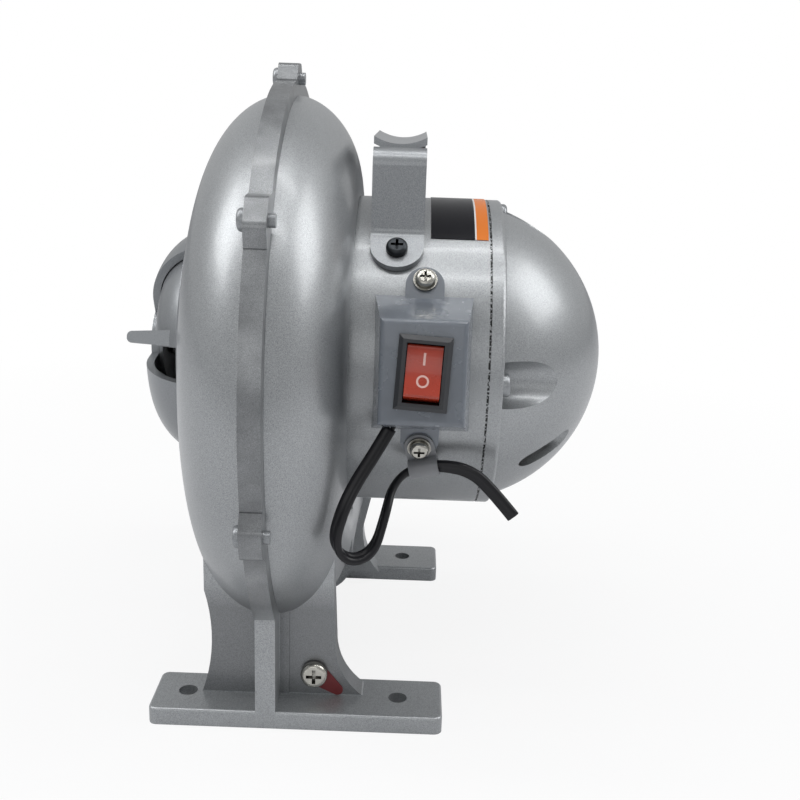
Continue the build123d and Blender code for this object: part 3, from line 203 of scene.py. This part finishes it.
# The jacket is black PVC with a faint sheen and a fine drag texture.
cord_jacket, tree, shader = new_material("cord_jacket")
shader.inputs["Base Color"].default_value = (0.004, 0.004, 0.006, 1)
shader.inputs["Specular IOR Level"].default_value = 0.30
shader.inputs["Coat Weight"].default_value = 0.15
place = put(tree, "ShaderNodeTexCoord")
grain = put(tree, "ShaderNodeTexNoise", Scale=900.0, Detail=3.0)
tree.links.new(place.outputs["Object"], grain.inputs["Vector"])
dull = put(tree, "ShaderNodeMapRange", To_Min=0.32, To_Max=0.50)
tree.links.new(grain.outputs["Fac"], dull.inputs["Value"])
tree.links.new(dull.outputs["Result"], shader.inputs["Roughness"])
bump = put(tree, "ShaderNodeBump", Strength=0.15, Distance=0.0002)
tree.links.new(grain.outputs["Fac"], bump.inputs["Height"])
tree.links.new(bump.outputs["Normal"], shader.inputs["Normal"])
dress(power_cord, cord_jacket)
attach(power_cord, "frame")
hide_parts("power_cord")


# Hammered paint: silver enamel with metal flake over sand-cast aluminium. The
# flake shows as fine light and dark specks, and the film is slightly pebbled.
def speckle_group():
    """Flake and pebble of the silver enamel: colour, roughness and height over the surface."""
    group = bpy.data.node_groups.new("silver_enamel", "ShaderNodeTree")
    face = group.interface
    face.new_socket("Vector", in_out="INPUT", socket_type="NodeSocketVector")
    face.new_socket("Light", in_out="INPUT", socket_type="NodeSocketColor")
    face.new_socket("Dark", in_out="INPUT", socket_type="NodeSocketColor")
    face.new_socket("Flake", in_out="INPUT", socket_type="NodeSocketFloat")
    face.new_socket("Color", in_out="OUTPUT", socket_type="NodeSocketColor")
    face.new_socket("Roughness", in_out="OUTPUT", socket_type="NodeSocketFloat")
    face.new_socket("Height", in_out="OUTPUT", socket_type="NodeSocketFloat")
    entry = group.nodes.new("NodeGroupInput")
    leave = group.nodes.new("NodeGroupOutput")
    flake = put(group, "ShaderNodeTexNoise", Scale=4200.0, Detail=2.0, Roughness=0.6)
    pebble = put(group, "ShaderNodeTexNoise", Scale=700.0, Detail=2.0)
    cloud = put(group, "ShaderNodeTexNoise", Scale=28.0, Detail=3.0)
    for node in (flake, pebble, cloud):
        group.links.new(entry.outputs["Vector"], node.inputs["Vector"])
    sharpen = put(group, "ShaderNodeMapRange", From_Min=0.30, From_Max=0.70)
    group.links.new(flake.outputs["Fac"], sharpen.inputs["Value"])
    weigh = put(group, "ShaderNodeMath", operation="MULTIPLY")
    group.links.new(sharpen.outputs["Result"], weigh.inputs[0])
    group.links.new(entry.outputs["Flake"], weigh.inputs[1])
    add_cloud = put(group, "ShaderNodeMath", operation="MULTIPLY_ADD")
    group.links.new(cloud.outputs["Fac"], add_cloud.inputs[0])
    add_cloud.inputs[1].default_value = 0.35
    group.links.new(weigh.outputs["Value"], add_cloud.inputs[2])
    tint = put(group, "ShaderNodeMix", data_type="RGBA")
    group.links.new(add_cloud.outputs["Value"], tint.inputs["Factor"])
    group.links.new(entry.outputs["Dark"], tint.inputs["A"])
    group.links.new(entry.outputs["Light"], tint.inputs["B"])
    sheen = put(group, "ShaderNodeMapRange", To_Min=0.30, To_Max=0.46)
    group.links.new(flake.outputs["Fac"], sheen.inputs["Value"])
    film = put(group, "ShaderNodeMath", operation="MULTIPLY_ADD")
    group.links.new(flake.outputs["Fac"], film.inputs[0])
    film.inputs[1].default_value = 0.35
    group.links.new(pebble.outputs["Fac"], film.inputs[2])
    group.links.new(tint.outputs["Result"], leave.inputs["Color"])
    group.links.new(sheen.outputs["Result"], leave.inputs["Roughness"])
    group.links.new(film.outputs["Value"], leave.inputs["Height"])
    return group


silver_enamel = speckle_group()


def maths(tree, operation, *terms):
    """Math node on sockets or plain numbers; gives its output socket."""
    node = put(tree, "ShaderNodeMath", operation=operation)
    for index, term in enumerate(terms):
        if isinstance(term, (int, float)):
            node.inputs[index].default_value = term
        else:
            tree.links.new(term, node.inputs[index])
    return node.outputs["Value"]


def measure(tree, source, direction):
    """Distance of the shaded point along a direction."""
    node = put(tree, "ShaderNodeVectorMath", operation="DOT_PRODUCT")
    tree.links.new(source, node.inputs[0])
    node.inputs[1].default_value = tuple(direction)
    return node.outputs["Value"]


BELL_SEAM_X = 0.0578
SEAM_DIRT = 0.0007
FOOT_TOP_Z = 0.0062
STAND_TOP_Z = 0.046
STAND_LOW_Z = 0.036
STAND_FACE_Y = -0.045
STAND_DARKENING = 0.55
CASE_SEAM_X = -0.0075
CREST_HALF = 0.0033
# Shaft axis, and how far the painted shade in the air way reaches round it.
SHAFT_Z = 0.109
AIR_WAY_R = 0.0340
AIR_WAY_END_X = 0.014
CRUMB_LIMIT = 0.46


def weathered_and_shaded(tree, place, colour):
    """Colour with dirt in the dome's seam, stains on the flange crest, darkening towards the bottom of the
    near web, and near-black painted shade inside the air way.
    """
    part = put(tree, "ShaderNodeSeparateXYZ")
    tree.links.new(place.outputs["Object"], part.inputs["Vector"])
    crumbs = put(tree, "ShaderNodeTexNoise", Scale=1400.0, Detail=1.0)
    tree.links.new(place.outputs["Object"], crumbs.inputs["Vector"])
    near = maths(tree, "COMPARE", part.outputs["X"], BELL_SEAM_X, SEAM_DIRT / 2)
    near = maths(tree, "MULTIPLY", near, maths(tree, "GREATER_THAN", crumbs.outputs["Fac"], CRUMB_LIMIT))
    # Inside the air way, near the shaft's axis and in front of the motor, the paint turns near black:
    # painted shade for the dark throat.
    lift = maths(tree, "SUBTRACT", part.outputs["Z"], SHAFT_Z)
    off_axis = maths(tree, "SQRT", maths(tree, "ADD", maths(tree, "POWER", part.outputs["Y"], 2.0),
                                         maths(tree, "POWER", lift, 2.0)))
    air_way_shade = maths(tree, "MULTIPLY", maths(tree, "LESS_THAN", off_axis, AIR_WAY_R),
                   maths(tree, "LESS_THAN", part.outputs["X"], AIR_WAY_END_X))
    seam_dirt_and_air_way_shade = put(tree, "ShaderNodeMix", data_type="RGBA")
    seam_dirt_and_air_way_shade.inputs["B"].default_value = (0.012, 0.012, 0.012, 1)
    tree.links.new(maths(tree, "MAXIMUM", near, air_way_shade), seam_dirt_and_air_way_shade.inputs["Factor"])
    tree.links.new(colour, seam_dirt_and_air_way_shade.inputs["A"])
    crest = maths(tree, "COMPARE", part.outputs["X"], CASE_SEAM_X, CREST_HALF)
    stain = put(tree, "ShaderNodeTexNoise", Scale=90.0, Detail=5.0)
    tree.links.new(place.outputs["Object"], stain.inputs["Vector"])
    # The near web gets darker towards the bottom, below the stand's top and above the feet.
    low = put(tree, "ShaderNodeMapRange", From_Min=STAND_TOP_Z, From_Max=STAND_LOW_Z)
    tree.links.new(part.outputs["Z"], low.inputs["Value"])
    front = maths(tree, "LESS_THAN", part.outputs["Y"], STAND_FACE_Y)
    web_darkening = maths(tree, "MULTIPLY", maths(tree, "MULTIPLY", low.outputs["Result"], front), STAND_DARKENING)
    web_darkening = maths(tree, "MULTIPLY", web_darkening, maths(tree, "SUBTRACT", 1.0, crest))
    web_darkening = maths(tree, "MULTIPLY", web_darkening, maths(tree, "GREATER_THAN", part.outputs["Z"], FOOT_TOP_Z))
    grime = maths(tree, "MULTIPLY", crest, maths(tree, "SUBTRACT", 1.0, low.outputs["Result"]))
    grime = maths(tree, "MULTIPLY", grime, stain.outputs["Fac"])
    shade = put(tree, "ShaderNodeMix", data_type="RGBA")
    shade.inputs["B"].default_value = (0.075, 0.078, 0.082, 1)
    tree.links.new(maths(tree, "MAXIMUM", web_darkening, grime), shade.inputs["Factor"])
    tree.links.new(seam_dirt_and_air_way_shade.outputs["Result"], shade.inputs["A"])
    return shade.outputs["Result"]


def enamel(name, light, dark, flake, pebble_mm, dirty_and_shaded=False):
    """Silver paint of one lightness and pebble, clean or with its dirt, stains and painted shade."""
    material, tree, shader = new_material(name)
    shader.inputs["Metallic"].default_value = 0.65
    shader.inputs["Coat Weight"].default_value = 0.35
    shader.inputs["Coat Roughness"].default_value = 0.14
    place = put(tree, "ShaderNodeTexCoord")
    film = put(tree, "ShaderNodeGroup", node_tree=silver_enamel)
    film.inputs["Light"].default_value = (*light, 1)
    film.inputs["Dark"].default_value = (*dark, 1)
    film.inputs["Flake"].default_value = flake
    tree.links.new(place.outputs["Object"], film.inputs["Vector"])
    colour = film.outputs["Color"]
    if dirty_and_shaded:
        colour = weathered_and_shaded(tree, place, colour)
    tree.links.new(colour, shader.inputs["Base Color"])
    tree.links.new(film.outputs["Roughness"], shader.inputs["Roughness"])
    bump = put(tree, "ShaderNodeBump", Strength=0.35, Distance=pebble_mm / 1000)
    tree.links.new(film.outputs["Height"], bump.inputs["Height"])
    tree.links.new(bump.outputs["Normal"], shader.inputs["Normal"])
    return material


casing_enamel = enamel("casing_enamel", (0.50, 0.515, 0.525), (0.19, 0.20, 0.21), 0.80, 0.08, dirty_and_shaded=True)
for name in ("scroll_front_half", "motor_body", "end_bell"):
    dress(nodes[name], casing_enamel)


# Inlet cover and shutter: smoother paint than the casing, on thin pressings.
cover_enamel = enamel("cover_enamel", (0.36, 0.375, 0.39), (0.20, 0.21, 0.22), 0.45, 0.04)
dress(nodes["inlet_cover"], cover_enamel)
dress(nodes["air_shutter"], cover_enamel)


# Carrying handle: bent steel strip with the same enamel, screwed flat to the
# barrel with two dark pan screws.
handle_enamel = enamel("handle_enamel", (0.42, 0.435, 0.45), (0.18, 0.19, 0.20), 0.7, 0.07)
dress(nodes["handle_strap"], handle_enamel)


# Screws and washers: bright zinc plate, a little cloudy, with painted shade darkening their recesses. The
# casing's and the dome's screws are painted over, and the handle's are dark.
def plated(name, colour, low, high):
    """Plated or bare metal with cloudy roughness and painted shade in its recesses."""
    material, tree, shader = new_material(name)
    shader.inputs["Metallic"].default_value = 1.0
    place = put(tree, "ShaderNodeTexCoord")
    cloud = put(tree, "ShaderNodeTexNoise", Scale=420.0, Detail=4.0)
    tree.links.new(place.outputs["Object"], cloud.inputs["Vector"])
    dull = put(tree, "ShaderNodeMapRange", To_Min=low, To_Max=high)
    tree.links.new(cloud.outputs["Fac"], dull.inputs["Value"])
    tree.links.new(dull.outputs["Result"], shader.inputs["Roughness"])
    tint = put(tree, "ShaderNodeMix", data_type="RGBA")
    tint.inputs["A"].default_value = (*[c * 0.7 for c in colour], 1)
    tint.inputs["B"].default_value = (*colour, 1)
    tree.links.new(cloud.outputs["Fac"], tint.inputs["Factor"])
    # Ambient occlusion darkens the colour in recesses and where parts meet: painted shade.
    painted_recess_shade = put(tree, "ShaderNodeAmbientOcclusion", Distance=RECESS_SHADE)
    tree.links.new(tint.outputs["Result"], painted_recess_shade.inputs["Color"])
    deepened_shade = put(tree, "ShaderNodeGamma", Gamma=1.8)
    tree.links.new(painted_recess_shade.outputs["Color"], deepened_shade.inputs["Color"])
    tree.links.new(deepened_shade.outputs["Color"], shader.inputs["Base Color"])
    return material


RECESS_SHADE = 0.0012
zinc_plate = plated("zinc_plate", (0.80, 0.79, 0.75), 0.12, 0.34)
dark_steel = plated("dark_steel", (0.20, 0.21, 0.22), 0.25, 0.45)
plain_steel = plated("plain_steel", (0.55, 0.55, 0.56), 0.22, 0.40)
for name in ("inlet_cover_screws", "box_screws", "box_washers", "earth_screw", "impeller_washer",
             "impeller_nut"):
    dress(nodes[name], zinc_plate)
dress(nodes["handle_screws"], dark_steel)
dress(nodes["casing_screws"], handle_enamel)
dress(nodes["end_bell_screws"], handle_enamel)
for name in ("shutter_rivet", "motor_shaft", "bearing_outer_rings", "bearing_inner_rings", "bearing_balls"):
    dress(nodes[name], plain_steel)


# Fan wheel and the motor's inside: the wheel's sheet near black as painted shade for the dark behind the
# inlet, stacked steel, enamelled copper wire and a black moulded cooling fan, seen through vents. The
# cord's cores are black where they enter the box.
# The wheel's sheet is coloured near black: painted shade for the dark inside the casing.
wheel_sheet_painted_shade = plated("wheel_sheet_painted_shade", (0.10, 0.10, 0.10), 0.40, 0.60)
stacked_steel = plated("stacked_steel", (0.20, 0.20, 0.21), 0.35, 0.55)
copper_wire = plated("copper_wire", (0.62, 0.30, 0.14), 0.25, 0.42)
terminal_brass = plated("terminal_brass", (0.70, 0.53, 0.26), 0.20, 0.38)
for name in ("impeller_backplate", "impeller_blades", "impeller_shroud"):
    dress(nodes[name], wheel_sheet_painted_shade)
for name in ("stator_core", "rotor_core"):
    dress(nodes[name], stacked_steel)
dress(nodes["stator_windings"], copper_wire)
dress(nodes["cord_cores"], cord_jacket)
dress(nodes["switch_terminals"], terminal_brass)


def moulded(name, colour, low, high, grain_scale=1200.0, depth_mm=0.02):
    """Moulded plastic: slight cloud in its colour and a fine satin grain."""
    material, tree, shader = new_material(name)
    place = put(tree, "ShaderNodeTexCoord")
    cloud = put(tree, "ShaderNodeTexNoise", Scale=160.0, Detail=3.0)
    grain = put(tree, "ShaderNodeTexNoise", Scale=grain_scale, Detail=2.0)
    tree.links.new(place.outputs["Object"], cloud.inputs["Vector"])
    tree.links.new(place.outputs["Object"], grain.inputs["Vector"])
    tint = put(tree, "ShaderNodeMix", data_type="RGBA")
    tint.inputs["A"].default_value = (*[c * 0.85 for c in colour], 1)
    tint.inputs["B"].default_value = (*[c * 1.15 for c in colour], 1)
    tree.links.new(cloud.outputs["Fac"], tint.inputs["Factor"])
    tree.links.new(tint.outputs["Result"], shader.inputs["Base Color"])
    dull = put(tree, "ShaderNodeMapRange", To_Min=low, To_Max=high)
    tree.links.new(cloud.outputs["Fac"], dull.inputs["Value"])
    tree.links.new(dull.outputs["Result"], shader.inputs["Roughness"])
    bump = put(tree, "ShaderNodeBump", Strength=0.3, Distance=depth_mm / 1000)
    tree.links.new(grain.outputs["Fac"], bump.inputs["Height"])
    tree.links.new(bump.outputs["Normal"], shader.inputs["Normal"])
    return material, tree, shader


cooler_plastic, tree, shader = moulded("cooler_plastic", (0.03, 0.03, 0.032), 0.35, 0.50)
dress(nodes["cooling_fan"], cooler_plastic)


# Switch box: blue-grey frosted plastic that lets a little light through, so
# its rims and corners look brighter than its flats.
box_plastic, tree, shader = moulded("box_plastic", (0.23, 0.255, 0.29), 0.20, 0.32)
shader.inputs["Transmission Weight"].default_value = 0.25
shader.inputs["Subsurface Weight"].default_value = 0.3
shader.inputs["Subsurface Radius"].default_value = (1.0, 1.0, 1.0)
shader.inputs["Subsurface Scale"].default_value = 0.003
shader.inputs["Coat Weight"].default_value = 0.3
dress(nodes["switch_box"], box_plastic)


# Rocker switch: charcoal bezel and body, and a red-orange rocker with the two
# usual marks, a bar at its upper end and a ring at its lower end.
bezel_plastic, tree, shader = moulded("bezel_plastic", (0.028, 0.030, 0.034), 0.30, 0.45)
dress(nodes["switch_body"], bezel_plastic)
rocker_plastic, tree, shader = moulded("rocker_plastic", (0.42, 0.040, 0.016), 0.22, 0.34)
shader.inputs["Coat Weight"].default_value = 0.4
ROCKER_PIVOT = (0.0378, -0.07141, 0.11967)
BOX_TURN = math.radians(81.5)
BEZEL_TURN = math.radians(3.3)
ROCKER_REST = math.radians(10.5)
MARK_PLACES = (0.0034, -0.0028)
BAR_HALF = (0.00032, 0.0017)
RING_R = 0.00150
RING_HALF = 0.00028
outward = np.array([0.0, -math.sin(BOX_TURN), math.cos(BOX_TURN)])
upward = np.array([0.0, math.cos(BOX_TURN), math.sin(BOX_TURN)])
across_rocker = math.cos(BEZEL_TURN) * np.array([1.0, 0.0, 0.0]) - math.sin(BEZEL_TURN) * upward
up_bezel = math.sin(BEZEL_TURN) * np.array([1.0, 0.0, 0.0]) + math.cos(BEZEL_TURN) * upward
up_rocker = math.cos(ROCKER_REST) * up_bezel - math.sin(ROCKER_REST) * outward
place = put(tree, "ShaderNodeTexCoord")
shift = put(tree, "ShaderNodeVectorMath", operation="SUBTRACT")
shift.inputs[1].default_value = ROCKER_PIVOT
tree.links.new(place.outputs["Object"], shift.inputs[0])


sideways = measure(tree, shift.outputs["Vector"], across_rocker)
height = measure(tree, shift.outputs["Vector"], up_rocker)
bar_near = maths(tree, "COMPARE", sideways, 0.0, BAR_HALF[0])
bar_high = maths(tree, "COMPARE", height, MARK_PLACES[0], BAR_HALF[1])
drop = maths(tree, "SUBTRACT", height, MARK_PLACES[1])
square = maths(tree, "ADD", maths(tree, "POWER", sideways, 2.0), maths(tree, "POWER", drop, 2.0))
on_ring = maths(tree, "COMPARE", maths(tree, "SQRT", square), RING_R, RING_HALF)
marks = maths(tree, "MAXIMUM", maths(tree, "MULTIPLY", bar_near, bar_high), on_ring)
paint = put(tree, "ShaderNodeMix", data_type="RGBA")
tree.links.new(shader.inputs["Base Color"].links[0].from_socket, paint.inputs["A"])
paint.inputs["B"].default_value = (0.78, 0.50, 0.45, 1)
tree.links.new(marks, paint.inputs["Factor"])
tree.links.new(paint.outputs["Result"], shader.inputs["Base Color"])
dress(nodes["switch_rocker"], rocker_plastic)


# Cord clip: clear grey nylon strip folded round the cord, its two ends under
# the washer of the lower box screw.
clip_nylon, tree, shader = moulded("clip_nylon", (0.42, 0.43, 0.45), 0.25, 0.40)
shader.inputs["Transmission Weight"].default_value = 0.50
dress(nodes["cord_clip"], clip_nylon)


# Earth tag: dark red card under the earth screw on the near pedestal.
tag_red, tree, shader = moulded("tag_red", (0.16, 0.014, 0.016), 0.35, 0.55)
dress(nodes["earth_tag"], tag_red)


# Plate on top of the barrel: black film with an orange band and a white line
# between them.
LABEL_X0 = 0.0392
LABEL_X1 = 0.0570
LABEL_SPLIT = 0.0528
LABEL_LINE = 0.0005
label_film, tree, shader = moulded("label_film", (0.5, 0.5, 0.5), 0.18, 0.30)
place = put(tree, "ShaderNodeTexCoord")
part = put(tree, "ShaderNodeSeparateXYZ")
tree.links.new(place.outputs["Object"], part.inputs["Vector"])
bands = put(tree, "ShaderNodeValToRGB")
across = put(tree, "ShaderNodeMapRange", From_Min=LABEL_X0, From_Max=LABEL_X1)
tree.links.new(part.outputs["X"], across.inputs["Value"])
tree.links.new(across.outputs["Result"], bands.inputs["Fac"])
bands.color_ramp.interpolation = "CONSTANT"
split = (LABEL_SPLIT - LABEL_X0) / (LABEL_X1 - LABEL_X0)
bands.color_ramp.elements[0].color = (0.006, 0.006, 0.009, 1)
bands.color_ramp.elements[1].position = split
bands.color_ramp.elements[1].color = (0.80, 0.80, 0.78, 1)
last = bands.color_ramp.elements.new(split + LABEL_LINE / (LABEL_X1 - LABEL_X0))
last.color = (0.80, 0.22, 0.035, 1)
tree.links.new(bands.outputs["Color"], shader.inputs["Base Color"])
shader.inputs["Specular IOR Level"].default_value = 0.20
dress(nodes["rating_label"], label_film)


# Studio: a pale floor, a white surround and two overhead strip lamps, whose
# long reflections lie along the top of the barrel. A soft lamp high on each side
# lights the shoulders of the casing and the dome.
FLOOR_SIZE = 12.0
FLOOR_FADE = (0.10, 0.45)
FLOOR_SHADOW_KEPT = 0.14
edge = FLOOR_SIZE / 2
corners = [(-edge, -edge, 0), (edge, -edge, 0), (edge, edge, 0), (-edge, edge, 0)]
floor_mesh = bpy.data.meshes.new("floor")
floor_mesh.from_pydata(corners, [], [(0, 1, 2, 3)])
floor = bpy.data.objects.new("floor", floor_mesh)
bpy.context.scene.collection.objects.link(floor)
floor_paper = bpy.data.materials.new("floor_paper")
floor_paper.use_nodes = True
tree = floor_paper.node_tree
shader = tree.nodes["Principled BSDF"]
shader.inputs["Base Color"].default_value = (0.86, 0.86, 0.87, 1)
shader.inputs["Roughness"].default_value = 0.9
shader.inputs["Specular IOR Level"].default_value = 0.1
glow = put(tree, "ShaderNodeEmission", Color=(1, 1, 1, 1), Strength=1.0)
rays = put(tree, "ShaderNodeLightPath")
seen = maths(tree, "MAXIMUM", rays.outputs["Is Camera Ray"], rays.outputs["Is Transmission Ray"])
spot = put(tree, "ShaderNodeNewGeometry")
away = put(tree, "ShaderNodeVectorMath", operation="LENGTH")
tree.links.new(spot.outputs["Position"], away.inputs[0])
fade = put(tree, "ShaderNodeMapRange", From_Min=FLOOR_FADE[0], From_Max=FLOOR_FADE[1],
           To_Min=1 - FLOOR_SHADOW_KEPT)
tree.links.new(away.outputs["Value"], fade.inputs["Value"])
blend = put(tree, "ShaderNodeMixShader")
tree.links.new(maths(tree, "MULTIPLY", seen, fade.outputs["Result"]), blend.inputs[0])
tree.links.new(shader.outputs["BSDF"], blend.inputs[1])
tree.links.new(glow.outputs["Emission"], blend.inputs[2])
tree.links.new(blend.outputs["Shader"], tree.nodes["Material Output"].inputs["Surface"])
dress(floor, floor_paper)

MIRRORED_LIGHT = 0.35
world = bpy.data.worlds.new("studio")
bpy.context.scene.world = world
world.use_nodes = True
tree = world.node_tree
surround = tree.nodes["Background"]
surround.inputs["Color"].default_value = (0.93, 0.96, 1.0, 1)
surround.inputs["Strength"].default_value = 0.20
backdrop = put(tree, "ShaderNodeBackground", Color=(1, 1, 1, 1), Strength=1.0)
rays = put(tree, "ShaderNodeLightPath")
blend = put(tree, "ShaderNodeMixShader")
seen = maths(tree, "MAXIMUM", rays.outputs["Is Camera Ray"], rays.outputs["Is Transmission Ray"])
mirrored = maths(tree, "MULTIPLY", rays.outputs["Is Glossy Ray"], MIRRORED_LIGHT)
tree.links.new(maths(tree, "MAXIMUM", seen, mirrored), blend.inputs[0])
tree.links.new(surround.outputs["Background"], blend.inputs[1])
tree.links.new(backdrop.outputs["Background"], blend.inputs[2])
tree.links.new(blend.outputs["Shader"], tree.nodes["World Output"].inputs["Surface"])


def lamp(name, place, target, size_x, size_y, watts, colour=(1, 1, 1)):
    """Rectangular area lamp that faces a target; its long side is level."""
    data = bpy.data.lights.new(name, "AREA")
    data.shape = "RECTANGLE"
    data.size = size_x
    data.size_y = size_y
    data.energy = watts
    data.color = colour
    light = bpy.data.objects.new(name, data)
    bpy.context.scene.collection.objects.link(light)
    back = unit(np.array(place, dtype=float) - np.array(target, dtype=float))
    long_side = unit(np.cross((0, 0, 1), back) if abs(back[2]) < 0.99 else np.array([1.0, 0, 0]))
    turn = np.eye(4)
    turn[:3, 0] = long_side
    turn[:3, 1] = np.cross(back, long_side)
    turn[:3, 2] = back
    turn[:3, 3] = place
    light.matrix_world = turn.T
    return light


MIDDLE = (0.01, 0.0, 0.11)
lamp("strip_above", (0.0, 0.02, 1.15), MIDDLE, 1.3, 0.07, 3.2)
lamp("strip_front", (0.0, -0.42, 1.10), MIDDLE, 1.3, 0.07, 3.2)
lamp("left_high", (-0.85, -0.10, 0.85), MIDDLE, 0.60, 0.60, 4.4)
lamp("right_high", (0.95, -0.02, 0.80), MIDDLE, 0.65, 0.65, 4.4)
lamp("front_soft", (-0.2, -1.3, 0.45), MIDDLE, 0.9, 0.5, 1.2)
